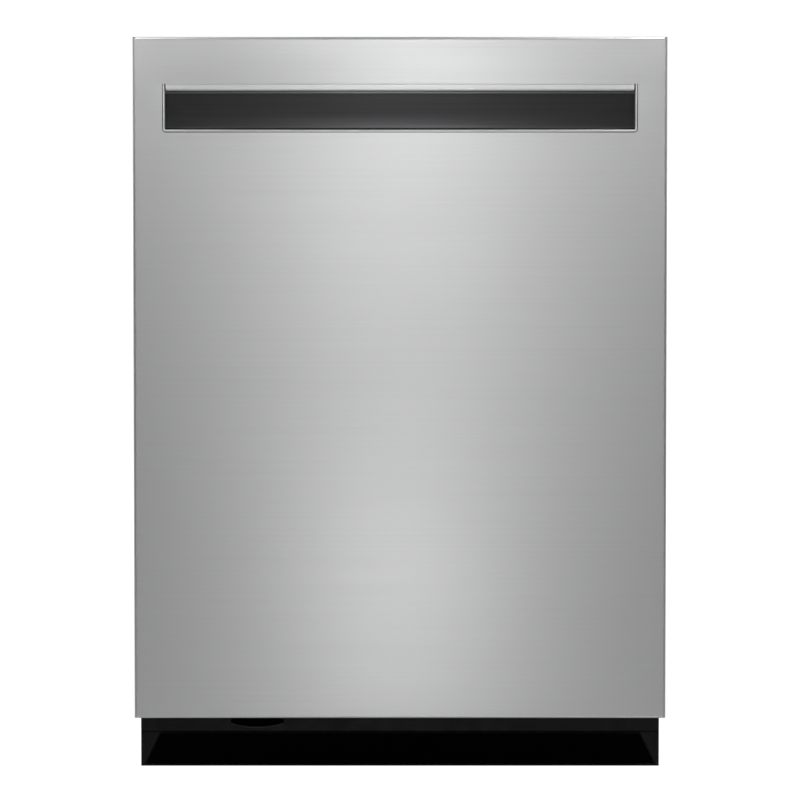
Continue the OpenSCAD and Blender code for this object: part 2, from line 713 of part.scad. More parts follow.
// Claw, let down clear of the strike; turned up, its tip stands behind it
module latch_claw() color("gainsboro") difference() {
    z = tub_top - 22.5;
    along_x([-4, 4]) polygon(concat(arc(latch_pin, 5, 60, 235, 8),
        [[-258, z - 4], [-234, z - 4], [-234, z + 5], [-238, z + 5], [-238, z], [-256, z], [-262, z + 5]]));
    rod_along_x([-5, 5], latch_pin[0], latch_pin[1], 2.06);
}

module dispenser() color("gray") difference() {
    union() {
        along_y([liner_y, liner_y + 3.6]) polygon(rounded([disp_x[0], disp_z[0]], [disp_x[1], disp_z[1]],
                10));
        block([disp_x[0] + 2.4, disp_x[1] - 2.4], [liner_y - 29, liner_y + 0.5], [disp_z[0] + 2.4,
                disp_z[1] - 2.4]);
    }
    along_y([liner_y - 25, liner_y + 4]) polygon(rounded([cup_x[0], cup_z[0]], [cup_x[1], cup_z[1]], 14));
    rod_along_y(cap_c[0], [liner_y - 25, liner_y + 4], cap_c[1], 12);
}

module detergent_lid() color("silver") {
    y = liner_y + 3.9;
    along_y([y, y + 2.4]) polygon(rounded([cup_x[0] - 4, cup_z[0] - 4], [cup_x[1] + 4, cup_z[1] + 4], 12));
    along_y([y + 2, y + 6]) polygon(rounded([cup_x[1] - 14, cup_z[0] + 14], [cup_x[1] - 6, cup_z[1] - 14],
            3));
}

module rinse_cap() color("gainsboro") {
    rod_along_y(cap_c[0], [liner_y + 3.9, liner_y + 7], cap_c[1], 19);
    rod_along_y(cap_c[0], [liner_y - 12, liner_y + 5], cap_c[1], 11);
    block([cap_c[0] - 14, cap_c[0] + 14], [liner_y + 6, liner_y + 12], [cap_c[1] - 3, cap_c[1] + 3]);
}

module vent_grille() color("dimgray") difference() {
    union() {
        rod_along_y(vent_c[0], [liner_y, liner_y + 4], vent_c[1], 38);
        rod_along_y(vent_c[0], [liner_y - 20, liner_y + 1], vent_c[1], 31);
    }
    rod_along_y(vent_c[0], [liner_y - 21, liner_y - 2], vent_c[1], 28);
    for (i = [-3:3]) let (h = sqrt(30 * 30 - (8 * i) * (8 * i)) - 4)
        block([vent_c[0] - h, vent_c[0] + h], [liner_y - 3, liner_y + 5], [vent_c[1] + 8 * i - 2,
                vent_c[1] + 8 * i + 2]);
}

// Plates inside the door's sides, with the lever and the balance pin behind the hinge pin
module hinge_arms() color("lightsteelblue") both_sides() {
    difference() {
        along_x([arm_x, arm_x + arm_plate]) polygon(concat(
            arc([pivot_y, pivot_z], 11, 190, 315, 8), arc(lever_pin, 7, -45, 135, 8),
            [[-262, 168], [-262, 320], [-300, 320], [-300, 150]]));
        rod_along_x([arm_x - 1, arm_x + arm_plate + 1], pivot_y, pivot_z, pin_r + 0.06);
    }
    rod_along_x([arm_x + arm_plate - 1, arm_x + arm_plate + 5], lever_pin[0], lever_pin[1], 3);
    block([arm_x + arm_plate, liner_x - 1], [-300, -264], [300, 303]);
    block([arm_x + arm_plate, liner_x - 1], [-300, -264], [190, 193]);
}

module bottom_seal() color("dimgray") along_x([-248, 248])
    polygon([[liner_y, 134.5], [liner_y + 2, 134.5], [liner_y + 9, 139], [liner_y + 9, 141], [liner_y + 2,
            140],
        [liner_y, 143]]);

// ---- Racks ----

// Points evenly spaced from a to b, with n gaps
function spaced(a, b, n) = [for (i = [0:n]) a + (b - a) * i / n];

// Open basket of wires: floor grid, four walls on the same spacing, rails at the rim and half way.
// Every wire is a straight solid, a hair clear of the ones it crosses.
module rack_basket(x, y, z, rim, nx, ny) {
    end = wire_r + 0.2;
    rail = wire_r + 0.4;
    for (px = spaced(-x + 5, x - 5, nx)) {
        wire([px, y[0] + end, z], [px, y[1] - end, z]);
        for (py = y) wire([px, py, z - wire_r], [px, py, rim - rail - 0.1]);
    }
    for (py = spaced(y[0] + 8, y[1] - 8, ny)) {
        wire([-x + end, py, z + wire_step], [x - end, py, z + wire_step]);
        for (px = [-x, x]) wire([px, py, z + wire_r], [px, py, rim - rail - 0.1]);
    }
    mid = (z + rim) / 2;
    in = 2 * wire_r + 0.6;
    for (py = y) wire([-x - 2, py, rim], [x + 2, py, rim], 2 * rail);
    for (px = [-x, x]) wire([px, y[0] + rail + 0.2, rim], [px, y[1] - rail - 0.2, rim], 2 * rail);
    for (py = [y[0] + in, y[1] - in]) wire([-x + in, py, mid], [x - in, py, mid]);
    for (px = [-x + in, x - in]) wire([px, y[0] + in + end, mid], [px, y[1] - in - end, mid]);
}

// A row of tines standing on a base wire
module tine_row(xs, y, z, h, lean = 0) {
    wire([xs[0] - 8, y, z], [xs[len(xs) - 1] + 8, y, z]);
    for (x = xs) wire([x, y, z + wire_r + 0.3], [x, y + lean, z + h], tine_d);
}

module lower_rack() color("slategray") {
    rack_basket(rack_x - 4, [rack_y0, rack_y1], low_z, low_rim, 12, rack_rows);
    for (i = [0:7]) tine_row(low_tine_x, row_y(i + 0.5), low_z + wire_step, 80, -6);
    tine_row(low_tine_x, row_y(rack_rows - 0.5), low_z + wire_step, 80, -6);
    // Pivot clips of the folding row
    difference() {
        for (x = [low_tine_x[0] - 5, low_tine_x[8] + 5])
            block([x - 3, x + 3], [fold_y - 5, fold_y + 5], [low_z + 2.2, fold_z + 5]);
        rod_along_x([-260, 260], fold_y, fold_z, 2.5);
    }
    // Axle carriers with their stub axles
    both_sides() for (y = wheel_y) {
        block([rack_x - 1.8, rack_x + 1], [y - 20, y + 20], [low_z - 1, low_z + 12]);
        block([rack_x - 1.8, rack_x + 1], [y - 8, y + 8], [wheel_z - 8, low_z]);
        rod_along_x([rack_x, rack_x + 15], y, wheel_z, 4);
        rod_along_x([rack_x + 14.6, rack_x + 16.6], y, wheel_z, 7);
    }
}

module lower_tines() color("slategray") tine_row(low_tine_x, fold_y, fold_z, 68);

module wheel(y) difference() {
    union() {
        rod_along_x([rack_x + 4, rack_x + 12], y, wheel_z, wheel_r);
        rod_along_x([rack_x + 1.6, rack_x + 14], y, wheel_z, 8);
    }
    rod_along_x([rack_x + 1, rack_x + 19], y, wheel_z, 4.06);
    for (a = [0:60:300]) translate([0, y, wheel_z]) rotate([a, 0, 0])
        rod_along_x([rack_x + 3, rack_x + 13], 13, 0, 3);
}

module silverware_basket() color("gray") {
    z0 = low_z + 7;
    z1 = low_z + 120;
    wall = 2;
    x = basket_x;
    y = basket_y;
    cell = (y[1] - y[0] - wall) / 3;
    difference() {
        block(x, y, [z0, z1]);
        for (i = [0:2]) let (a = y[0] + wall + i * cell)
            block([x[0] + wall, x[1] - wall], [a, a + cell - wall], [z0 + wall, z1 + 1]);
        for (z = [z0 + 10:20:z1 - 20], i = [0:2], k = [0:6]) let (a = y[0] + i * cell + 7 + 18.4 * k)
            block([x[0] - 1, x[1] + 1], [a, a + 12], [z, z + 14]);
    }
    // Carry handle on the two inner walls
    mid = (x[0] + x[1]) / 2;
    for (i = [1, 2]) block([mid - 4, mid + 4], [y[0] + i * cell - 3, y[0] + i * cell + 5], [z1 - 4, z1 + 22]);
    block([mid - 5, mid + 5], [y[0] + cell - 3, y[0] + 2 * cell + 5], [z1 + 20, z1 + 27]);
}

module upper_rack() color("slategray") {
    rack_basket(rack_x - 4, [rack_y0, rack_y1 - 6], up_z, up_rim, 12, rack_rows);
    for (x = [-120, 0, 120]) translate([x, 0, 0]) rotate([0, 0, 90])
        tine_row(spaced(-190, 190, 9), 0, up_z + 2 * wire_step, 60, 10);
    // Inner rails of the slides, on three hangers a side
    both_sides() {
        block([265, 273.4], [rack_y0, rack_y1 - 6], [565, 587]);
        for (y = [-186, 0, 186]) {
            block([rack_x - 1.8, rack_x], [y - 12, y + 12], [(up_z + up_rim) / 2 - 2, 578]);
            block([rack_x - 1, 266], [y - 12, y + 12], [574, 578]);
        }
    }
    // Pivot clips of the cup shelf
    difference() {
        for (y = shelf_clip_y) block([-rack_x + 6.2, shelf_x + 4], [y - 3, y + 3], [shelf_z - 5,
                shelf_z + 5]);
        rod_along_y(shelf_x, [-200, 200], shelf_z, 2.5);
    }
    // Manifold that docks with the riser and carries the upper spray arm
    rod_along_y(0, [sump_c[1], 249.5], manifold_z, 6.4);
    for (y = [60, 200]) block([-8, 8], [y - 5, y + 5], [manifold_z + 3, up_z - wire_r - 0.1]);
    rod_along_z(0, sump_c[1], [upper_arm_z - 6, manifold_z], 11);
    rod_along_z(0, sump_c[1], [upper_arm_z - 9, upper_arm_z - 4.5], 17);
}

module cup_shelf() color("slategray") {
    wire([shelf_x, shelf_clip_y[0] - 8, shelf_z], [shelf_x, shelf_clip_y[1] + 8, shelf_z]);
    wire([shelf_x + 105, -146, shelf_z], [shelf_x + 105, 146, shelf_z]);
    for (y = spaced(-142, 142, 9)) wire([shelf_x - 1, y, shelf_z + 4], [shelf_x + 106, y, shelf_z + 4], 3.4);
}

// ---- Nodes ----

tub();
front_frame();
door_gasket();
sound_blanket();
base_frame();
base_pan();
sump();
circulation_pump();
drain_pump();
inlet_valve();
junction_box();
heating_element();
feed_tube();
fill_funnel();
filter_screen();
hinge_brackets();
access_panel();
toe_panel();
mounting_brackets();
fixed_rails();
internal_hoses();
balance_springs();
leg(-leg_x, leg_y[0]);  // leg_front_left
leg(leg_x, leg_y[0]);  // leg_front_right
leg(-leg_x, leg_y[1]);  // leg_rear_left
leg(leg_x, leg_y[1]);  // leg_rear_right
float_cap();
filter_cup();
lower_spray_arm();
balance_rods();
door_panel();
handle_pocket();
inner_liner();
door_insulation();
console();
control_board();
status_lens();
latch_housing();
dispenser();
vent_grille();
hinge_arms();
door_screws();
bottom_seal();
latch_claw();
detergent_lid();
rinse_cap();
button(button_x[0]);  // button_power
button(button_x[1]);  // button_cycle
button(button_x[2]);  // button_options
button(button_x[3]);  // button_delay
button(button_x[4]);  // button_start
lower_rack();
lower_tines();
silverware_basket();
color("gray") both_sides() wheel(wheel_y[0]);  // front_wheels
color("gray") both_sides() wheel(wheel_y[1]);  // rear_wheels
upper_rack();
cup_shelf();
mid_rails();
upper_spray_arm();
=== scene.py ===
import json
import math

import bmesh
import bpy
from mathutils import Matrix, Vector


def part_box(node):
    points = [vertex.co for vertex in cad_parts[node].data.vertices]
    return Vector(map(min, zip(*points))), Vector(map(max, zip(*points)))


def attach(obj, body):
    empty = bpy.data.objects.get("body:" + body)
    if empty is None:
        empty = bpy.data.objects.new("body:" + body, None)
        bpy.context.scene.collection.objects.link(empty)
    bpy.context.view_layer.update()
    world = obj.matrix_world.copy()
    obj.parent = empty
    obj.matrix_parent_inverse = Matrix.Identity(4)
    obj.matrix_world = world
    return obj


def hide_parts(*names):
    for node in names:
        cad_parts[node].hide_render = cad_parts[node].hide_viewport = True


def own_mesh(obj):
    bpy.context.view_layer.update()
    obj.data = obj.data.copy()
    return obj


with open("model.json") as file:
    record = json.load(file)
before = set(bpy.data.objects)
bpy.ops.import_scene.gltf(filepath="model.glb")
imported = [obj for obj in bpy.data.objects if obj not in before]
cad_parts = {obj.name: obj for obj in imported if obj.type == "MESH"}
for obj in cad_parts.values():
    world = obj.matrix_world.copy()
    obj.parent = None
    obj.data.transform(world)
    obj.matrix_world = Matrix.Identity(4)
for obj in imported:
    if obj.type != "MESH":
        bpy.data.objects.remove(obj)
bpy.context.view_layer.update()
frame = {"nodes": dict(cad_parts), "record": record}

nodes = frame["nodes"]
scene = bpy.context.scene
MM = 0.001

# Leading dimensions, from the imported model
P_LO, P_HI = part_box("door_panel")
FRONT = P_LO[1]
DOOR_X = P_HI[0]
DOOR_Z0, DOOR_Z1 = P_LO[2], P_HI[2]
POCKET_X = 0.2695
POCKET_Z1 = DOOR_Z1 - 0.0533
POCKET_Z0 = POCKET_Z1 - 0.055


# ---- Materials ----

class Mat:
    """A node material with object coordinates, a small set of textures and one shader."""

    def __init__(self, name, color, metallic=0.0, rough=0.5, **sockets):
        self.mat = bpy.data.materials.new(name)
        self.mat.use_nodes = True
        self.tree = self.mat.node_tree
        self.shader = self.tree.nodes["Principled BSDF"]
        self.shader.inputs["Base Color"].default_value = (*color, 1)
        self.shader.inputs["Metallic"].default_value = metallic
        self.shader.inputs["Roughness"].default_value = rough
        for key, value in sockets.items():
            self.shader.inputs[key.replace("_", " ")].default_value = value
        self.coord = self.node("ShaderNodeTexCoord").outputs["Object"]
        self.color, self.rough, self.normal = color, rough, None

    def node(self, kind, **values):
        n = self.tree.nodes.new(kind)
        for key, value in values.items():
            setattr(n, key, value)
        return n

    def link(self, a, b):
        self.tree.links.new(a, b)

    def noise(self, scale, stretch=(1, 1, 1), detail=3.0, rough=0.5, kind="ShaderNodeTexNoise"):
        mapping = self.node("ShaderNodeMapping")
        mapping.inputs["Scale"].default_value = stretch
        self.link(self.coord, mapping.inputs["Vector"])
        tex = self.node(kind)
        tex.inputs["Scale"].default_value = scale
        if kind == "ShaderNodeTexNoise":
            tex.inputs["Detail"].default_value = detail
            tex.inputs["Roughness"].default_value = rough
        self.link(mapping.outputs["Vector"], tex.inputs["Vector"])
        return tex.outputs["Fac" if kind == "ShaderNodeTexNoise" else "Distance"]

    def ramp(self, value, lo, hi, a, b):
        m = self.node("ShaderNodeMapRange")
        m.inputs["From Min"].default_value, m.inputs["From Max"].default_value = lo, hi
        m.inputs["To Min"].default_value, m.inputs["To Max"].default_value = a, b
        self.link(value, m.inputs["Value"])
        return m.outputs["Result"]

    def vary_rough(self, value, amount, lo=0.35, hi=0.65):
        self.link(self.ramp(value, lo, hi, self.rough - amount, self.rough + amount),
                  self.shader.inputs["Roughness"])

    def vary_color(self, value, other, lo=0.35, hi=0.65):
        mix = self.node("ShaderNodeMix", data_type="RGBA")
        mix.inputs["A"].default_value = (*self.color, 1)
        mix.inputs["B"].default_value = (*other, 1)
        self.link(self.ramp(value, lo, hi, 0, 1), mix.inputs["Factor"])
        self.link(mix.outputs["Result"], self.shader.inputs["Base Color"])
        return mix

    def bump(self, value, depth, strength=1.0):
        b = self.node("ShaderNodeBump")
        b.inputs["Distance"].default_value = depth
        b.inputs["Strength"].default_value = strength
        self.link(value, b.inputs["Height"])
        if self.normal is not None:
            self.link(self.normal, b.inputs["Normal"])
        self.normal = b.outputs["Normal"]
        self.link(self.normal, self.shader.inputs["Normal"])

    def soften(self, radius):
        """Rounds the shading of sharp edges; called before the first bump, which takes it over."""
        n = self.node("ShaderNodeBevel", samples=4)
        n.inputs["Radius"].default_value = radius
        self.normal = n.outputs["Normal"]

    def brush(self, direction, aniso, relief=1.0, spread=0.035):
        """Brushed grain along x or z, with highlights stretched across it."""
        stretch = {"x": (3, 160, 900), "z": (160, 160, 3)}[direction]
        grain = self.noise(1.0, stretch, 2.0, 0.6)
        fine = self.noise(1.0, tuple(s * 2.3 for s in stretch), 1.0, 0.5)
        self.vary_rough(grain, spread)
        self.bump(grain, 0.00003, 0.5 * relief)
        self.bump(fine, 0.00002, 0.4 * relief)
        tangent = self.node("ShaderNodeTangent", direction_type="RADIAL", axis="Z")
        self.link(tangent.outputs["Tangent"], self.shader.inputs["Tangent"])
        self.shader.inputs["Anisotropic"].default_value = aniso
        self.shader.inputs["Anisotropic Rotation"].default_value = 0.0 if direction == "z" else 0.25
        return grain


def panel_steel():
    m = Mat("panel_steel", (0.63, 0.632, 0.635), 1.0, 0.44)
    grain = m.brush("x", 0.45, 0.2, 0.018)
    mix = m.vary_color(m.noise(2.2, (0.6, 1, 1), 3.0), (0.605, 0.607, 0.612))
    streak = m.node("ShaderNodeMix", data_type="RGBA", blend_type="MULTIPLY")
    streak.inputs["B"].default_value = (0.972, 0.972, 0.972, 1)
    m.link(m.ramp(grain, 0.42, 0.7, 0, 1), streak.inputs["Factor"])
    m.link(mix.outputs["Result"], streak.inputs["A"])
    m.link(streak.outputs["Result"], m.shader.inputs["Base Color"])
    return m.mat


def steel(name, color, rough, aniso=0.0, edge=0.0004):
    m = Mat(name, color, 1.0, rough)
    m.soften(edge)
    m.brush("z", aniso, 0.3, 0.007)
    m.vary_color(m.noise(9.0, detail=5.0), tuple(c * 0.94 for c in color))
    return m.mat


def zinc():
    m = Mat("zinc_steel", (0.6, 0.61, 0.63), 1.0, 0.38)
    m.soften(0.0004)
    spangle = m.noise(90.0, kind="ShaderNodeTexVoronoi")
    m.vary_color(spangle, (0.5, 0.52, 0.55), 0.1, 0.9)
    m.vary_rough(m.noise(40.0), 0.09)
    m.bump(spangle, 0.00004, 0.4)
    return m.mat


def plastic(name, color, rough, grain=900.0, depth=0.00005, wear=1.25, **sockets):
    """Moulded or painted, with a fine grain; wear is how much lighter its worn patches are."""
    m = Mat(name, color, 0.0, rough, **sockets)
    m.soften(0.0005)
    m.vary_color(m.noise(14.0, detail=6.0), tuple(min(c * wear, 1) for c in color), 0.45, 0.75)
    m.vary_rough(m.noise(60.0, detail=4.0), 0.06)
    m.bump(m.noise(grain, detail=2.0), depth, 0.6)
    return m.mat


def coated_wire():
    m = Mat("rack_coating", (0.3, 0.315, 0.33), 0.0, 0.33, Coat_Weight=0.15)
    m.vary_color(m.noise(25.0, detail=4.0), (0.24, 0.255, 0.27))
    m.vary_rough(m.noise(180.0), 0.07)
    m.bump(m.noise(420.0, detail=2.0), 0.0001, 0.5)
    return m.mat


def felt():
    m = Mat("felt", (0.085, 0.087, 0.09), 0.0, 0.95, Sheen_Weight=0.5, Sheen_Roughness=0.6)
    fibre = m.noise(700.0, detail=6.0, rough=0.75)
    m.vary_color(fibre, (0.2, 0.2, 0.205), 0.4, 0.75)
    m.bump(fibre, 0.0005, 0.8)
    m.bump(m.noise(45.0, detail=3.0), 0.0012, 0.5)
    return m.mat


def rubber():
    m = Mat("rubber", (0.035, 0.035, 0.036), 0.0, 0.62, Sheen_Weight=0.1)
    m.soften(0.0008)
    m.vary_color(m.noise(30.0, detail=5.0), (0.07, 0.07, 0.07))
    m.bump(m.noise(600.0, detail=3.0), 0.00008, 0.5)
    return m.mat


def pocket_metal(name, shade):
    """Dark brushed coating of the pocket: its own dark tone, set darker as painted shade of the recess; the
    rib's lighter tone of it is a painted highlight.
    """
    m = Mat(name, (shade, shade, shade * 1.03), 1.0, 0.33)
    grain = m.brush("x", 0.35, 0.1)
    m.vary_color(grain, (shade * 0.88, shade * 0.88, shade * 0.91))
    return m.mat


def heated():
    m = Mat("element_steel", (0.32, 0.29, 0.27), 1.0, 0.42)
    m.vary_color(m.noise(18.0, detail=4.0), (0.16, 0.15, 0.17))
    m.vary_rough(m.noise(120.0), 0.1)
    m.bump(m.noise(500.0), 0.00006, 0.5)
    return m.mat


SLOTS = {
    "panel_steel": panel_steel(),
    "tub_steel": steel("tub_steel", (0.58, 0.58, 0.57), 0.3, 0.35),
    "zinc_steel": zinc(),
    "spring_steel": steel("spring_steel", (0.4, 0.39, 0.38), 0.34),
    "screw_steel": steel("screw_steel", (0.66, 0.66, 0.65), 0.25, edge=0.0002),
    "element_steel": heated(),
    "rack_coating": coated_wire(),
    "kick_paint": plastic("kick_paint", (0.003, 0.003, 0.0032), 0.5, 700.0, 0.00006, 1.5,
                          Specular_IOR_Level=0.24),
    # Pocket tone: its own dark coating, made darker still as painted shade of the recess
    "pocket_plastic": pocket_metal("pocket_plastic", 0.066),
    "black_plastic": plastic("black_plastic", (0.02, 0.02, 0.021), 0.45),
    "grey_plastic": plastic("grey_plastic", (0.3, 0.31, 0.32), 0.48, wear=0.88),
    "white_plastic": plastic("white_plastic", (0.78, 0.78, 0.75), 0.45, wear=0.93),
    "leg_steel": steel("leg_steel", (0.5, 0.5, 0.51), 0.35),
    "board": plastic("board", (0.02, 0.13, 0.05), 0.3, 300.0, 0.0001, 1.6),
    "lens": plastic("lens", (0.012, 0.013, 0.016), 0.08, 60.0, 0.00001, 1.1, Coat_Weight=0.6),
    "rubber": rubber(),
    "felt": felt(),
}
slot_of = {s["node"]: s["material_slot"] for s in frame["record"]["subparts"]}
for name, obj in nodes.items():
    if not obj.material_slots:
        obj.data.materials.append(None)
    for s in obj.material_slots:
        s.material = SLOTS[slot_of[name]]


# ---- Mesh helpers ----

def piece(name, bm, body, slot, node=(), solid=0.0, angle=35.0, smooth=True, flat=False):
    """Turns a bmesh into a named piece that rides a body."""
    bmesh.ops.remove_doubles(bm, verts=bm.verts, dist=1e-6)
    bmesh.ops.recalc_face_normals(bm, faces=bm.faces)
    mesh = bpy.data.meshes.new(name)
    bm.to_mesh(mesh)
    bm.free()
    obj = bpy.data.objects.new(name, mesh)
    scene.collection.objects.link(obj)
    mesh.materials.append(SLOTS[slot])
    if smooth:
        mesh.shade_smooth()
        mesh.set_sharp_from_angle(angle=math.radians(angle))
    if solid:
        mod = obj.modifiers.new("gauge", "SOLIDIFY")
        mod.thickness, mod.offset = abs(solid), -1.0 if solid > 0 else 1.0
        mod.use_quality_normals = True
    if flat:
        obj.modifiers.new("flat_faces", "WEIGHTED_NORMAL").keep_sharp = True
    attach(obj, body)
    if node:
        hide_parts(*node)
    return obj


def grid(bm, rows):
    """Faces between rows of points; each row has the same length."""
    verts = [[bm.verts.new(p) for p in row] for row in rows]
    for a, b in zip(verts, verts[1:]):
        for i in range(len(a) - 1):
            bm.faces.new((a[i], a[i + 1], b[i + 1], b[i]))
    return verts


def ring_faces(bm, a, b):
    """Joins two closed loops of vertices of the same length."""
    for i in range(len(a)):
        j = (i + 1) % len(a)
        bm.faces.new((a[i], a[j], b[j], b[i]))


def box_solid(bm, x, y, z):
    middle = ((x[0] + x[1]) / 2, (y[0] + y[1]) / 2, (z[0] + z[1]) / 2)
    size = (x[1] - x[0], y[1] - y[0], z[1] - z[0], 1)
    bmesh.ops.create_cube(bm, size=1, matrix=Matrix.Translation(middle) @ Matrix.Diagonal(size))


def on_side(s, a, b):
    """The x range between a and b on the right (s = 1) or the left (s = -1)."""
    return sorted((s * a, s * b))


def spaced(a, b, n):
    return [a + (b - a) * i / n for i in range(n + 1)]


def arc(cx, cy, r, a0, a1, n):
    return [(cx + r * math.cos(math.radians(a0 + (a1 - a0) * i / n)),
             cy + r * math.sin(math.radians(a0 + (a1 - a0) * i / n))) for i in range(n + 1)]


# ---- Door panel ----

def fold(radius, reach, n=7):
    """(inset, depth) of a folded edge, from where it leaves the face to the end of its return."""
    pts = []
    for i in range(n + 1):
        a = math.radians(90 * i / n)
        pts.append((radius * (1 - math.sin(a)), radius * (1 - math.cos(a))))
    return pts + [(0.0, reach)]


def door_panel():
    """Folded sheet with the pocket's opening, whose edges are turned in."""
    bm = bmesh.new()
    r, r_foot = 3.5 * MM, 2.0 * MM
    gap = 0.45 * MM
    # Left and right folds run the full height, those at the top and the foot sit between them
    for s in (-1, 1):
        rows = [[(s * (DOOR_X - inset), FRONT + depth, z) for z in (DOOR_Z0 + 0.3 * MM, DOOR_Z1 - 0.25 * MM)]
                for inset, depth in fold(r, 24 * MM)]
        grid(bm, rows)
    between = (-DOOR_X + r + gap, DOOR_X - r - gap)
    top, foot = fold(r, 9 * MM), fold(r_foot, 18 * MM)
    grid(bm, [[(x, FRONT + depth, DOOR_Z1 - inset) for x in between] for inset, depth in top])
    grid(bm, [[(x, FRONT + depth, DOOR_Z0 + inset) for x in between] for inset, depth in foot])
    # Face, with the opening cut in it
    px, pz0, pz1 = POCKET_X, POCKET_Z0, POCKET_Z1
    rc = 4.0 * MM
    corners = arc(-px + rc, pz0 + rc, rc, 180, 270, 6) + arc(px - rc, pz0 + rc, rc, 270, 360, 6)
    xa, xb = -DOOR_X + r, DOOR_X - r
    za, zb = DOOR_Z0 + r_foot, DOOR_Z1 - r

    def face(pts):
        bm.faces.new([bm.verts.new((x, FRONT, z)) for x, z in pts])

    face([(xa, pz1), (xb, pz1), (xb, zb), (xa, zb)])
    face([(xa, pz1), (-px, pz1), (-px, pz0 + rc), (xa, pz0)])
    face([(px, pz0 + rc), (xb, pz0), (xb, pz1), (px, pz1)])
    face([(xa, za), (xb, za), (xb, pz0), (px, pz0 + rc)] + corners[::-1] + [(-px, pz0 + rc), (xa, pz0)])
    # Profiles round the opening, (into it, back from the face) in mm. The turned-in edge has a crease, a
    # rounded bead and a return; a black strip laid in the crease is painted shade, the dark line of its gap.
    bead = [(0, 0), (0.7, 0.5), (0.9, 0.35), (1.4, 0.25), (2.5, 0.45), (3.0, 0.9), (3.3, 1.6), (3.4, 9.0)]
    crease_shade = [(-0.02, 0.02), (0.0, -0.12), (0.62, -0.12), (0.7, 0.5)]

    def round_opening(profile):
        rows = []
        for o, d in profile:
            q = max(rc - o * MM, 0.3 * MM)
            x, z, y = px - o * MM, pz0 + o * MM, FRONT + d * MM
            row = [(-x, y, pz1)] + [(u, y, v) for u, v in arc(-x + q, z + q, q, 180, 270, 6)]
            rows.append(row + [(u, y, v) for u, v in arc(x - q, z + q, q, 270, 360, 6)] + [(x, y, pz1)])
        return rows

    grid(bm, round_opening(bead))
    crease_shade_bm = bmesh.new()
    grid(crease_shade_bm, round_opening(crease_shade))
    # Black plastic strip in the crease: painted shade of the gap between the face and the trim
    piece("pocket_crease_shade", crease_shade_bm, "door", "black_plastic", angle=50)
    piece("front_panel", bm, "door", "panel_steel", ("door_panel",), solid=1.0 * MM, angle=40, flat=True)


def grip_lip():
    """Rolled lip: a crease under the face, a band that leans out, and a roll back up behind it."""
    bm = bmesh.new()
    x = POCKET_X - 4 * MM
    profile = [(0.0, 0.0), (0.5, -0.25), (0.8, -0.7), (0.72, -1.2), (0.42, -3.0), (0.2, -4.4)]
    profile += [(y + 2.3, z - 5.6) for y, z in arc(0, 0, 2.3, 165, 345, 16)]
    profile += [(4.6, -4.0), (4.6, 1.0)]
    rows = []
    for y, z in profile:
        round_off = 1.3 * MM * max(0.0, (-z - 5.0) / 3.0) ** 2
        rows.append([(e, FRONT + y * MM, POCKET_Z1 + z * MM) for e in (-x + round_off, x - round_off)])
    grid(bm, rows)
    piece("grip_lip", bm, "door", "panel_steel", solid=0.5 * MM, angle=50, flat=True)


def pocket():
    """Back wall that leans forward towards its foot, closed by end walls, and a rib behind the lip."""
    bm = bmesh.new()
    x = POCKET_X - 2.2 * MM
    z0, z1 = POCKET_Z0 + 2.6 * MM, POCKET_Z1 + 7 * MM
    # The back wall's (y behind the face, z over the opening's top) in mm, from its top to its foot
    wall = [(30.0 - 3.2 * ((1 - t) / 0.7) ** 2 if t > 0.3 else 26.8 - 9.1 * (0.3 - t), -10 - 39.5 * t)
            for t in spaced(0, 1, 20)]
    last_y, last_z = wall[-1]
    profile = [(4.6 * MM + FRONT, z0 - 0.6 * MM), (FRONT + 6.0 * MM, z0)]
    foot = [(last_y - 3.0 + y, last_z + z) for y, z in arc(0, 0, 3.0, -90, -20, 6)]
    profile += [(FRONT + y * MM, max(z0, POCKET_Z1 + z * MM)) for y, z in foot]
    profile += [(FRONT + y * MM, POCKET_Z1 + z * MM) for y, z in wall[::-1]]
    profile += arc(FRONT + 18.0 * MM, z1 - 6 * MM, 4 * MM, 0, 90, 6)
    profile += [(FRONT + 15 * MM, z1), (FRONT + 9.6 * MM, z1)]
    grid(bm, [[(e, y, z) for y, z in profile] for e in (-x, -x + 2.4 * MM, x - 2.4 * MM, x)])
    for s in (-1, 1):
        bm.faces.new([bm.verts.new((s * x, y, z)) for y, z in profile])
    piece("pocket_insert", bm, "door", "pocket_plastic", ("handle_pocket",), solid=-1.6 * MM, angle=50)
    bm = bmesh.new()
    y, z = FRONT + 11 * MM, POCKET_Z1 - 11.2 * MM
    rib = [(y + 2 * MM, z1), (y + 2 * MM, z + 3.4 * MM), (y, z + 2.4 * MM)]
    rib += arc(y + 0.7 * MM, z + 0.7 * MM, 0.7 * MM, 180, 360, 8)
    rib += [(y + 1.4 * MM, z + 2 * MM), (y + 3.4 * MM, z + 3.4 * MM)]
    grid(bm, [[(e, yy, zz) for yy, zz in rib] for e in (-x + MM, x - MM)])
    rib_obj = piece("pocket_rib", bm, "door", "pocket_plastic", angle=50)
    # A lighter copy of the pocket's metal on the rib: a painted highlight, the lit strip under the lip
    rib_obj.data.materials[0] = pocket_metal("pocket_rib_painted_highlight", 0.16)


# ---- Toe kick ----

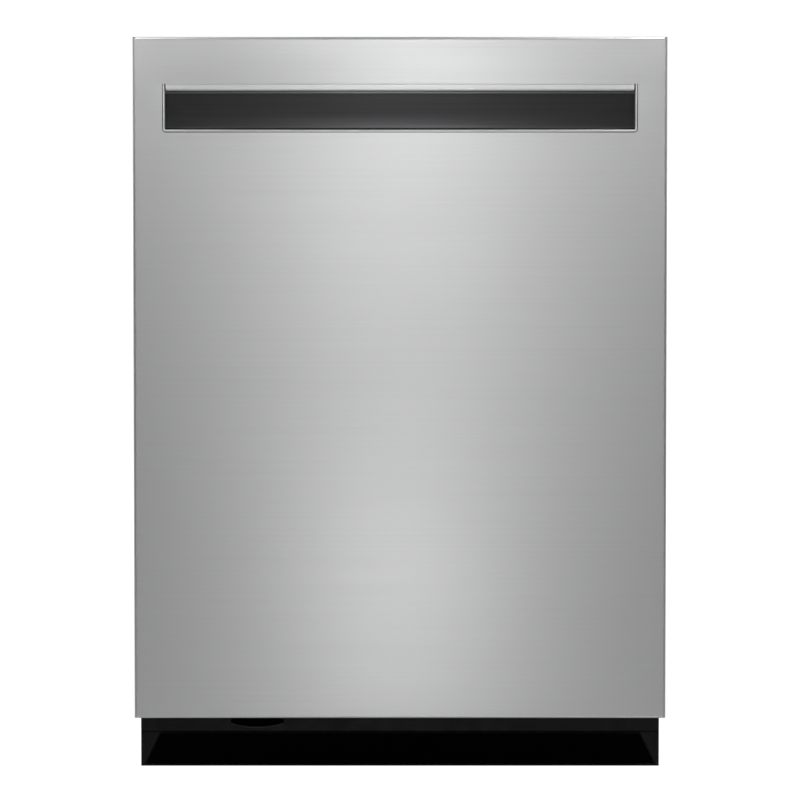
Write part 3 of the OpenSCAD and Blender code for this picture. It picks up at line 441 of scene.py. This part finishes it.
def toe_panel():
    """Pressed lower panel: a flat rim round a recess with slanted ends."""
    lo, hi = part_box("toe_panel")
    x, y, z0, z1 = hi[0], lo[1], lo[2], hi[2]
    rim = [(-0.296, z0 + 2 * MM), (0.296, z0 + 2 * MM), (0.278, z1 - 0.8 * MM), (-0.278, z1 - 0.8 * MM)]
    deep = [(-0.2935, z0 + 3 * MM), (0.2935, z0 + 3 * MM), (0.2765, z1 - 2.6 * MM), (-0.2765, z1 - 2.6 * MM)]
    box = [(-x, z0), (x, z0), (x, z1), (-x, z1)]
    bm = bmesh.new()

    def loop(pts, depth, inset=0.0):
        """Four vertices behind the face, the foot's two first, drawn in by the inset."""
        return [bm.verts.new((px - math.copysign(inset, px), y + depth, pz + (inset if i < 2 else -inset)))
                for i, (px, pz) in enumerate(pts)]

    corner, flange, sink = 0.9 * MM, 4.6 * MM, 2.2 * MM
    ring_faces(bm, loop(box, corner), loop(box, 0.25 * MM, 0.25 * MM))
    ring_faces(bm, loop(box, 0.25 * MM, 0.25 * MM), loop(box, 0, corner))
    ring_faces(bm, loop(box, 0, corner), loop(rim, 0))
    ring_faces(bm, loop(rim, 0), loop(deep, sink))
    ring_faces(bm, loop(box, flange), loop(box, corner))
    for s in (-1, 1):
        box_solid(bm, on_side(s, x, x - 2.2 * MM), (y + 4.2 * MM, y + 18 * MM), (z0, z1))
        box_solid(bm, on_side(s, 0.120, 0.140), (y + 3 * MM, y + 21 * MM), (z1 - 5 * MM, z1 - 2 * MM))
    bm.faces.new(loop(box, flange))
    piece("toe_panel_rim", bm, "cabinet", "kick_paint", ("toe_panel",), angle=40)
    bm = bmesh.new()
    bm.faces.new(loop(deep, sink))
    recess = piece("toe_panel_recess", bm, "cabinet", "kick_paint", smooth=False)
    # The recess is near-black without reflection, darker than the rim's paint: painted shade
    recess.data.materials[0] = painted_shade_black()


# Near-black matt with almost no reflection: painted shade, for the toe panel's recess and the back of the
# notch
def painted_shade_black():
    m = Mat("kick_painted_shade", (0.0012, 0.0012, 0.0012), 0.0, 0.95, Specular_IOR_Level=0.02)
    m.vary_color(m.noise(350.0, detail=4.0), (0.002, 0.002, 0.002))
    m.vary_rough(m.noise(90.0), 0.04)
    m.bump(m.noise(1200.0, detail=3.0), 0.0001, 0.5)
    return m.mat


def access_panel():
    """Upper strip of the kick, with a finger notch that has a rolled rim."""
    lo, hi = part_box("access_panel")
    x, y, z0, z1 = hi[0], lo[1], lo[2], hi[2]
    r = 0.110
    left, right, foot = -0.196, -0.135, 0.056
    curve = arc(-0.1655, foot + r, r, 254, 286, 20)
    notch = [(left, z1 - 5 * MM), (left, curve[0][1])] + curve
    notch += [(right, curve[-1][1]), (right, z1 - 5 * MM)]
    bm = bmesh.new()
    corner = 0.7 * MM
    face = [(-x + corner, z0 + corner), (x - corner, z0 + corner), (x - corner, z1), (right, z1)]
    face += notch[::-1] + [(left, z1), (-x + corner, z1)]
    bm.faces.new([bm.verts.new((px, y, pz)) for px, pz in face])
    edge = [(-x + corner, z1), (-x + corner, z0 + corner), (x - corner, z0 + corner), (x - corner, z1)]
    out = [(-x, z1), (-x, z0), (x, z0), (x, z1)]
    half = [(px * 0.7 + qx * 0.3, pz * 0.7 + qz * 0.3) for (px, pz), (qx, qz) in zip(edge, out)]
    rounded = ((edge, 0), (half, 0.2 * MM), (out, corner), (out, 2.4 * MM))
    grid(bm, [[(px, y + depth, pz) for px, pz in line] for line, depth in rounded])
    for s in (-1, 1):
        box_solid(bm, on_side(s, x, x - 2.2 * MM), (y + 2.4 * MM, y + 18 * MM), (z0, z1))
        box_solid(bm, on_side(s, 0.110, 0.130), (y + 2.5 * MM, y + 21 * MM), (z1 - 6 * MM, z1 - 3 * MM))
    # Side walls of the notch, its rolled rim and its back
    deep = 7 * MM
    grid(bm, [[(px, y, pz) for px, pz in notch], [(px, y + deep, pz) for px, pz in notch]])
    piece("access_panel_face", bm, "cabinet", "kick_paint", ("access_panel",), angle=40)
    bm = bmesh.new()
    tube(bm, [(px, y + 0.1 * MM, pz - 1.1 * MM) for px, pz in notch[1:-1]], 0.8 * MM, 10)
    # The rim takes the lighter black plastic, not the kick paint: a painted highlight along the notch's
    # lower edge
    piece("access_panel_rim", bm, "cabinet", "black_plastic", angle=60)
    # Dark box behind the notch: painted shade of the notch's inside
    bm = bmesh.new()
    box_solid(bm, (left - 4 * MM, right + 5 * MM), (y + deep, y + 9 * MM), (z0 + MM, z1 - 4 * MM))
    back = piece("access_panel_notch", bm, "cabinet", "kick_paint", smooth=False)
    back.data.materials[0] = painted_shade_black()


# ---- Wires, springs and hoses ----

def unit(v):
    return v / v.length


def bend_path(points, radius, n=6):
    """The points of a route with its corners rounded."""
    pts = [Vector(p) for p in points]
    out = [pts[0]]
    for a, b, c in zip(pts, pts[1:], pts[2:]):
        p = b + unit(a - b) * min(radius, (a - b).length / 2)
        q = b + unit(c - b) * min(radius, (c - b).length / 2)
        out += [(1 - t) ** 2 * p + 2 * t * (1 - t) * b + t * t * q for t in (i / n for i in range(n + 1))]
    return out + [pts[-1]]


def tube(bm, pts, r, sides=10, closed=False):
    """A round bar along a path; r is a radius or a function of the distance along it."""
    pts = [Vector(p) for p in pts]
    n = len(pts)
    up, rings, run = None, [], 0.0
    for i, p in enumerate(pts):
        before = pts[(i - 1) % n] if closed or i else p
        after = pts[(i + 1) % n] if closed or i < n - 1 else p
        t = unit(after - before)
        up = unit(up - t * up.dot(t)) if up is not None else unit(t.orthogonal())
        side = t.cross(up)
        if i:
            run += (p - pts[i - 1]).length
        radius = r(run) if callable(r) else r
        rings.append([bm.verts.new(p + radius * (up * math.cos(q) + side * math.sin(q)))
                      for q in (2 * math.pi * k / sides for k in range(sides))])
    for a, b in list(zip(rings, rings[1:])) + ([(rings[-1], rings[0])] if closed else []):
        ring_faces(bm, a, b)
    if not closed:
        for ring, inward in ((rings[0], pts[0] - pts[1]), (rings[-1], pts[-1] - pts[-2])):
            tip = bm.verts.new(sum((v.co for v in ring), Vector()) / sides + unit(inward) * 0.0004)
            for k in range(sides):
                bm.faces.new((ring[k], ring[(k + 1) % sides], tip))


def loop_path(x0, x1, y0, y1, z, r, n=5):
    """A level rectangle with round corners."""
    out = []
    corners = ((x1 - r, y0 + r, -90), (x1 - r, y1 - r, 0), (x0 + r, y1 - r, 90), (x0 + r, y0 + r, 180))
    for cx, cy, a in corners:
        out += [(x, y, z) for x, y in arc(cx, cy, r, a, a + 90, n)]
    return out


# Radii of the rack wires, and how far one layer of them lies over the next
WIRE, TINE, RIM = 2.1 * MM, 1.7 * MM, 2.5 * MM
STEP = 4.3 * MM
RACK_X, RACK_Y0 = 0.246, -0.232
LOWER_Y1, UPPER_Y1 = 0.240, 0.234
CROSS_WIRES = 13
SHELF_X, SHELF_Z = -0.238, 0.582


def basket(bm, y1, z, rim):
    """Bent floor-and-wall wires both ways, with a rim and a middle rail."""
    bow = 14 * MM
    for x in spaced(-RACK_X + 5 * MM, RACK_X - 5 * MM, 12):
        tube(bm, bend_path([(x, RACK_Y0, rim), (x, RACK_Y0, z), (x, y1, z), (x, y1, rim)], bow), WIRE, 8)
    low = z + STEP - 0.2 * MM
    for y in spaced(RACK_Y0 + 8 * MM, y1 - 8 * MM, CROSS_WIRES):
        across = [(-RACK_X, y, rim), (-RACK_X, y, low), (RACK_X, y, low), (RACK_X, y, rim)]
        tube(bm, bend_path(across, bow), WIRE, 8)
    tube(bm, loop_path(-RACK_X, RACK_X, RACK_Y0, y1, rim, 9 * MM), RIM, 10, closed=True)
    inner = 2 * WIRE
    rail = loop_path(-RACK_X + inner, RACK_X - inner, RACK_Y0 + inner, y1 - inner, (z + rim) / 2, 9 * MM)
    tube(bm, rail, WIRE, 8, closed=True)


def tines(bm, starts, height, lean):
    """Tines that stand on a base wire and bow a little as they rise."""
    first, last = Vector(starts[0]), Vector(starts[-1])
    over = unit(last - first) * 8 * MM
    tube(bm, [first - over, last + over], WIRE, 8)
    for p in starts:
        p = Vector(p)
        rise = [p + Vector((lean[0] * t * t, lean[1] * t * t, height * t)) for t in spaced(0, 1, 4)]
        tube(bm, rise, TINE, 8)


def rack_row(i):
    """The y of a row of tines in the lower rack; a whole i is on a cross wire."""
    return RACK_Y0 + 8 * MM + i * (LOWER_Y1 - RACK_Y0 - 16 * MM) / CROSS_WIRES


def lower_rack():
    z, rim = 0.200, 0.330
    wheel_y, axle_z = (-0.166, 0.160), 0.1525
    bm = bmesh.new()
    basket(bm, LOWER_Y1, z, rim)
    xs = spaced(-0.225, 0.135, 8)
    for i in list(range(8)) + [12]:
        tines(bm, [(x, rack_row(i + 0.5), z + STEP) for x in xs], 0.080, (0, -0.006))
    for s in (-1, 1):
        for y in wheel_y:
            tube(bm, [(s * 0.2485, y, axle_z), (s * 0.2668, y, axle_z)], 3.9 * MM, 16)
    piece("lower_rack_wires", bm, "lower_rack", "rack_coating", ("lower_rack",), angle=60)
    # Wheel holders on the side wires, and clips that the folding row turns in
    bm = bmesh.new()
    for s in (-1, 1):
        for y in wheel_y:
            x = on_side(s, 0.2483, 0.2508)
            box_solid(bm, x, (y - 0.020, y + 0.020), (0.1992, 0.2118))
            box_solid(bm, x, (y - 0.008, y + 0.008), (0.1447, z))
    fold_y, fold_z, clip_z = rack_row(9.5), 0.209, 0.2022
    for middle in (xs[0] - 5 * MM, xs[8] + 5 * MM):
        x = (middle - 2.8 * MM, middle + 2.8 * MM)
        for dy in (-4.4 * MM, 2.6 * MM):
            box_solid(bm, x, (fold_y + dy, fold_y + dy + 1.8 * MM), (clip_z, fold_z + 4.8 * MM))
        box_solid(bm, x, (fold_y - 4.4 * MM, fold_y + 4.4 * MM), (clip_z, 0.2060))
    clips = piece("lower_rack_clips", bm, "lower_rack", "grey_plastic", smooth=False)
    clips.modifiers.new("edges", "BEVEL").width = 0.4 * MM
    bm = bmesh.new()
    tines(bm, [(x, fold_y, fold_z) for x in xs], 0.068, (0, 0))
    piece("folding_tines_wires", bm, "folding_tines", "rack_coating", ("lower_tines",), angle=60)


def upper_rack():
    z, rim = 0.495, 0.612
    bm = bmesh.new()
    basket(bm, UPPER_Y1, z, rim)
    for x in (-0.120, 0, 0.120):
        tines(bm, [(x, y, z + 2 * STEP) for y in spaced(-0.190, 0.190, 9)], 0.060, (-0.010, 0))
    piece("upper_rack_wires", bm, "upper_rack", "rack_coating", ("upper_rack",), angle=60)
    # Side rails, each on three brackets
    bm = bmesh.new()
    for s in (-1, 1):
        box_solid(bm, on_side(s, 0.2652, 0.2732), (RACK_Y0, UPPER_Y1), (0.5652, 0.5868))
        for y in (-0.186, 0, 0.186):
            box_solid(bm, on_side(s, 0.2484, 0.2498), (y - 0.012, y + 0.012), (0.5517, 0.578))
            box_solid(bm, on_side(s, 0.2484, 0.266), (y - 0.012, y + 0.012), (0.5742, 0.578))
    rails = piece("upper_rack_rails", bm, "upper_rack", "tub_steel", smooth=False)
    rails.modifiers.new("edges", "BEVEL").width = 0.5 * MM
    # Water pipe under the rack with the spray arm's post, its hangers and the cup shelf's clips
    bm = bmesh.new()
    post_y, end_y, pipe_z, pipe_r = 0.010, 0.244, 0.4855, 6.3
    tube(bm, [(0, post_y, pipe_z), (0, end_y, pipe_z)], pipe_r * MM, 24)
    tube(bm, [(0, end_y, pipe_z), (0, 0.2494, pipe_z)], lambda d: (pipe_r - 270 * d) * MM, 24)
    tube(bm, [(0, post_y, 0.456), (0, post_y, 0.4895)], 10.8 * MM, 28)
    tube(bm, [(0, post_y, 0.4532), (0, post_y, 0.4573)], 16.8 * MM, 36)
    for y in (0.060, 0.200):
        box_solid(bm, (-0.008, 0.008), (y - 0.005, y + 0.005), (0.4885, 0.4927))
    for y in (-0.155, 0.156):
        for dz in (-4.6, 2.8):
            jaw = (SHELF_Z + dz * MM, SHELF_Z + (dz + 1.8) * MM)
            box_solid(bm, (-0.2437, -0.2342), (y - 0.0028, y + 0.0028), jaw)
    piece("upper_rack_manifold", bm, "upper_rack", "grey_plastic", angle=50)


def cup_shelf():
    x, z, half = SHELF_X, SHELF_Z, 0.146
    bm = bmesh.new()
    tube(bm, [(x, -half - 17 * MM, z), (x, half + 18 * MM, z)], WIRE, 10)
    tube(bm, [(x + 0.105, -half, z), (x + 0.105, half, z)], WIRE, 10)
    for y in spaced(-0.142, 0.142, 9):
        tube(bm, [(x - 0.5 * MM, y, z + 3.9 * MM), (x + 0.1055, y, z + 3.9 * MM)], TINE, 8)
    piece("cup_shelf_wires", bm, "cup_shelf", "rack_coating", ("cup_shelf",), angle=60)


def springs():
    """Wound springs beside the tub, each built at one length with a mesh of its own."""
    turns, steps = 11, 20
    x, z, coil = 0.291, 0.150, 5.2 * MM
    y0, y1 = -0.1454, 0.0022
    for s, side in ((-1, "left"), (1, "right")):
        bm = bmesh.new()
        path = []
        for i in range(turns * steps + 1):
            a, t = 2 * math.pi * i / steps, i / (turns * steps)
            path.append((s * x + coil * math.cos(a), y0 + (y1 - y0) * t, z + coil * math.sin(a)))
        tube(bm, path, 1.18 * MM, 8)
        node = ("balance_springs",) if s < 0 else ()
        spring = piece("balance_spring_" + side, bm, "cabinet", "spring_steel", node, angle=60)
        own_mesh(spring)


def hoses():
    x, top = -0.2922, 0.3115
    y0, y1 = 0.030, 0.090
    bm = bmesh.new()
    tube(bm, bend_path([(-0.208, -0.150, 0.1043), (-0.208, -0.150, 0.118), (-0.225, -0.085, 0.119),
                        (-0.283, -0.040, 0.112), (x, y0, 0.100), (x, y0, top)], 14 * MM, 8), 3.4 * MM, 14)
    tube(bm, bend_path([(x, y1, top), (x, y1, 0.100), (-0.250, 0.060, 0.098), (-0.180, 0.010, 0.105),
                        (-0.0875, 0.010, 0.105)], 22 * MM, 8), 3.4 * MM, 14)
    tube(bm, bend_path([(0.135, 0.0462, 0.117), (0.135, 0.130, 0.116), (0.060, 0.200, 0.100),
                        (0, 0.268, 0.090), (0, 0.268, 0.1118)], 30 * MM, 8), 7.4 * MM, 20)
    piece("water_hoses", bm, "cabinet", "rubber", ("internal_hoses",), angle=60)
    # Corrugated drain hose from the sump to the pump
    route = bend_path([(-0.0675, 0.0775, 0.090), (-0.098, 0.108, 0.090), (-0.150, 0.120, 0.096),
                       (-0.150, 0.1498, 0.096)], 24 * MM, 10)
    fine = []
    for a, b in zip(route, route[1:]):
        count = max(1, int((b - a).length / (0.9 * MM)))
        fine += [a + (b - a) * i / count for i in range(count)]
    bm = bmesh.new()
    tube(bm, fine + [route[-1]], lambda d: (7.7 + 0.7 * math.cos(2 * math.pi * d / (4.2 * MM))) * MM, 20)
    piece("sump_hose", bm, "cabinet", "rubber", angle=60)


# ---- Felt ----

def quilt(bm, place, nu, nv, thick, puff, stitches):
    """A closed pad: place(u, v, depth) gives a point, with depth 0 on the inside."""
    inner, outer = [], []
    for i in range(nu + 1):
        u = i / nu
        row_in, row_out = [], []
        for j in range(nv + 1):
            v = j / nv
            edge = min(1.0, min(u, 1 - u) * nu / 1.5, min(v, 1 - v) * nv / 1.5)
            wave_u = abs(math.sin(math.pi * stitches[0] * u)) ** 0.5
            wave = wave_u * abs(math.sin(math.pi * stitches[1] * v)) ** 0.5
            rough = 0.25 * math.sin(41 * u + 3 * math.sin(17 * v)) * math.sin(37 * v)
            depth = thick - puff * (1 - min(edge, wave)) - puff * 0.2 * (1 + rough)
            row_in.append(place(u, v, 0.2 * MM))
            row_out.append(place(u, v, depth))
        inner.append(row_in)
        outer.append(row_out)

    def border(g):
        return [r[0] for r in g] + g[-1][1:] + [r[-1] for r in g[::-1][1:]] + g[0][::-1][1:-1]

    ring_faces(bm, border(grid(bm, inner)), border(grid(bm, outer)))


def sound_blanket():
    lo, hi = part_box("sound_blanket")
    t = 8 * MM
    x0, z1, r = hi[0] - t, hi[2] - t, 12 * MM
    y0, y1 = lo[1], hi[1] - t
    # (point, direction outwards) up the left side, over the top and down the right
    left = [((-x0, z), (-1, 0)) for z in spaced(lo[2], z1 - r, 24)]
    for a in (150, 120, 90):
        c, n = math.cos(math.radians(a)), math.sin(math.radians(a))
        left.append(((-x0 + r + r * c, z1 - r + r * n), (c, n)))
    top = [((x, z1), (0, 1)) for x in spaced(-x0 + r, x0 - r, 20)[1:-1]]
    right = [((-x, z), (-nx, nz)) for (x, z), (nx, nz) in left[::-1]]
    profile = left + top + right
    last = len(profile) - 1

    def over(u, v, depth):
        (x, z), (nx, nz) = profile[round(u * last)]
        return (x + nx * depth, y0 + (y1 - y0) * v, z + nz * depth)

    bm = bmesh.new()
    quilt(bm, over, last, 36, t, 3.2 * MM, (15, 4))
    blanket = piece("felt_blanket", bm, "cabinet", "felt", ("sound_blanket",), angle=70)

    def behind(u, v, depth):
        return (-x0 + 2 * x0 * u, y1 + depth, lo[2] + (z1 - lo[2]) * v)

    bm = bmesh.new()
    quilt(bm, behind, 40, 40, t, 3.2 * MM, (5, 6))
    piece("felt_back", bm, "cabinet", "felt", angle=70)


def door_insulation():
    lo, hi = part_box("door_insulation")

    def place(u, v, depth):
        return (lo[0] + (hi[0] - lo[0]) * u, hi[1] - depth, lo[2] + (hi[2] - lo[2]) * v)

    bm = bmesh.new()
    quilt(bm, place, 40, 40, hi[1] - lo[1], 4 * MM, (3, 3))
    piece("felt_door_pad", bm, "door", "felt", ("door_insulation",), angle=70)


# ---- Screws ----

def door_screws():
    """Pan heads with a cross recess, on shanks."""
    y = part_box("door_screws")[1][1]
    # (radius, depth) of the head in mm
    head = [(0.9, 0.0), (1.9, 0.0), (2.7, -0.35), (3.25, -0.95), (3.25, -1.7), (0.0, -1.7)]
    for side, s in (("left", -1), ("right", 1)):
        x = s * 0.296
        bm = bmesh.new()
        for z in spaced(0.200, 0.800, 4):
            for k in range(24):
                q0, q1 = 2 * math.pi * k / 24, 2 * math.pi * (k + 1) / 24
                for (r0, d0), (r1, d1) in zip(head, head[1:]):
                    ring = []
                    for q, r, d in ((q0, r0, d0), (q1, r0, d0), (q1, r1, d1), (q0, r1, d1)):
                        deep = -0.9 if r < 1 and k % 6 < 2 else 0.0
                        point = (x + r * MM * math.cos(q), y + (d + deep) * MM, z + r * MM * math.sin(q))
                        ring.append(bm.verts.new(point))
                    bm.faces.new(ring)
            tube(bm, [(x, y - 1.7 * MM, z), (x, y - 10.5 * MM, z)], 1.45 * MM, 12)
            for wide, high in ((0.45 * MM, 1.6 * MM), (1.6 * MM, 0.45 * MM)):
                box_solid(bm, (x - wide, x + wide), (y - 0.9 * MM, y - 0.75 * MM), (z - high, z + high))
        piece("door_screws_" + side, bm, "door", "screw_steel", ("door_screws",) if s < 0 else (), angle=40)


door_panel()
grip_lip()
pocket()
toe_panel()
access_panel()
lower_rack()
upper_rack()
cup_shelf()
springs()
hoses()
sound_blanket()
door_insulation()
door_screws()


# ---- Stage, camera and light ----

def stage_floor():
    """A white sweep: shadowless to the camera, a plain pale floor to every other ray."""
    bpy.ops.mesh.primitive_plane_add(size=60, location=(0, 0, -0.0006))
    floor = bpy.context.object
    floor.name = "floor"
    m = Mat("floor", (0.7, 0.7, 0.7), 0.0, 0.6)
    m.vary_rough(m.noise(3.0), 0.05)
    glow = m.node("ShaderNodeEmission")
    glow.inputs["Strength"].default_value = 1.1
    seen = m.node("ShaderNodeMixShader")
    m.link(m.node("ShaderNodeLightPath").outputs["Is Camera Ray"], seen.inputs["Fac"])
    m.link(m.shader.outputs["BSDF"], seen.inputs[1])
    m.link(glow.outputs["Emission"], seen.inputs[2])
    m.link(seen.outputs["Shader"], m.tree.nodes["Material Output"].inputs["Surface"])
    floor.data.materials.append(m.mat)


def area(name, loc, target, size, power):
    light = bpy.data.lights.new(name, "AREA")
    light.shape = "RECTANGLE"
    light.size, light.size_y = size
    light.energy = power
    obj = bpy.data.objects.new(name, light)
    scene.collection.objects.link(obj)
    obj.location = loc
    obj.rotation_euler = (Vector(target) - Vector(loc)).to_track_quat("-Z", "Y").to_euler()
    obj.visible_camera = False


stage_floor()
# Strips and soft boxes in front make the broad band down the middle of the door
MIDDLE = (0, -0.3, 0.5)
area("front_soft", (0, -1.6, 1.3), MIDDLE, (0.7, 0.6), 1.3)
area("front_soft_low", (0, -1.6, 0.6), MIDDLE, (0.7, 0.6), 0.34)
area("front_strip", (0, -1.3, 0.9), MIDDLE, (0.1, 0.5), 1.2)
area("front_strip_low", (0, -1.3, 0.5), MIDDLE, (0.1, 0.5), 0.11)
area("front_strip_foot", (0, -1.1, 0.14), (0, -0.3, 0.2), (0.1, 0.2), 0.4)
area("left_near", (-0.45, -0.55, 1.1), (-0.25, -0.3, 0.84), (0.15, 0.15), 1.5)
area("right_near", (0.5, -0.65, 1.3), (0.25, -0.3, 0.8), (0.2, 0.2), 4.0)
# Behind the front of the door, for the sides, the back and the open machine
area("left_side", (-2.4, 0.9, 1.7), (0, 0, 0.4), (1.4, 1.8), 24)
area("right_side", (2.4, 0.9, 1.7), (0, 0, 0.4), (1.4, 1.8), 20)
area("back_soft", (0, 2.8, 1.8), (0, 0.3, 0.4), (2.2, 1.6), 30)
area("top_soft", (0, 0.5, 2.6), (0, 0.1, 0.8), (1.6, 1.2), 7)

# White to the camera, dim to every other ray
world = bpy.data.worlds.new("studio")
scene.world = world
world.use_nodes = True
wt = world.node_tree
seen = wt.nodes["Background"]
seen.inputs["Color"].default_value = (1, 1, 1, 1)
seen.inputs["Strength"].default_value = 1.05
dim = wt.nodes.new("ShaderNodeBackground")
dim.inputs["Color"].default_value = (1, 1, 1, 1)
dim.inputs["Strength"].default_value = 0.145
pick = wt.nodes.new("ShaderNodeMixShader")
path = wt.nodes.new("ShaderNodeLightPath")
wt.links.new(path.outputs["Is Camera Ray"], pick.inputs["Fac"])
wt.links.new(dim.outputs["Background"], pick.inputs[1])
wt.links.new(seen.outputs["Background"], pick.inputs[2])
wt.links.new(pick.outputs["Shader"], wt.nodes["World Output"].inputs["Surface"])

camera_data = bpy.data.cameras.new("camera")
camera = bpy.data.objects.new("camera", camera_data)
scene.collection.objects.link(camera)
camera_data.lens = 237.5
camera_data.sensor_width = 36
camera_data.clip_end = 100
camera.location = (0, -6.298, 0.8354)
camera.rotation_euler = (math.radians(90 - 3.77), 0, 0)
scene.camera = camera
scene.view_settings.view_transform = "Standard"
scene.view_settings.look = "None"
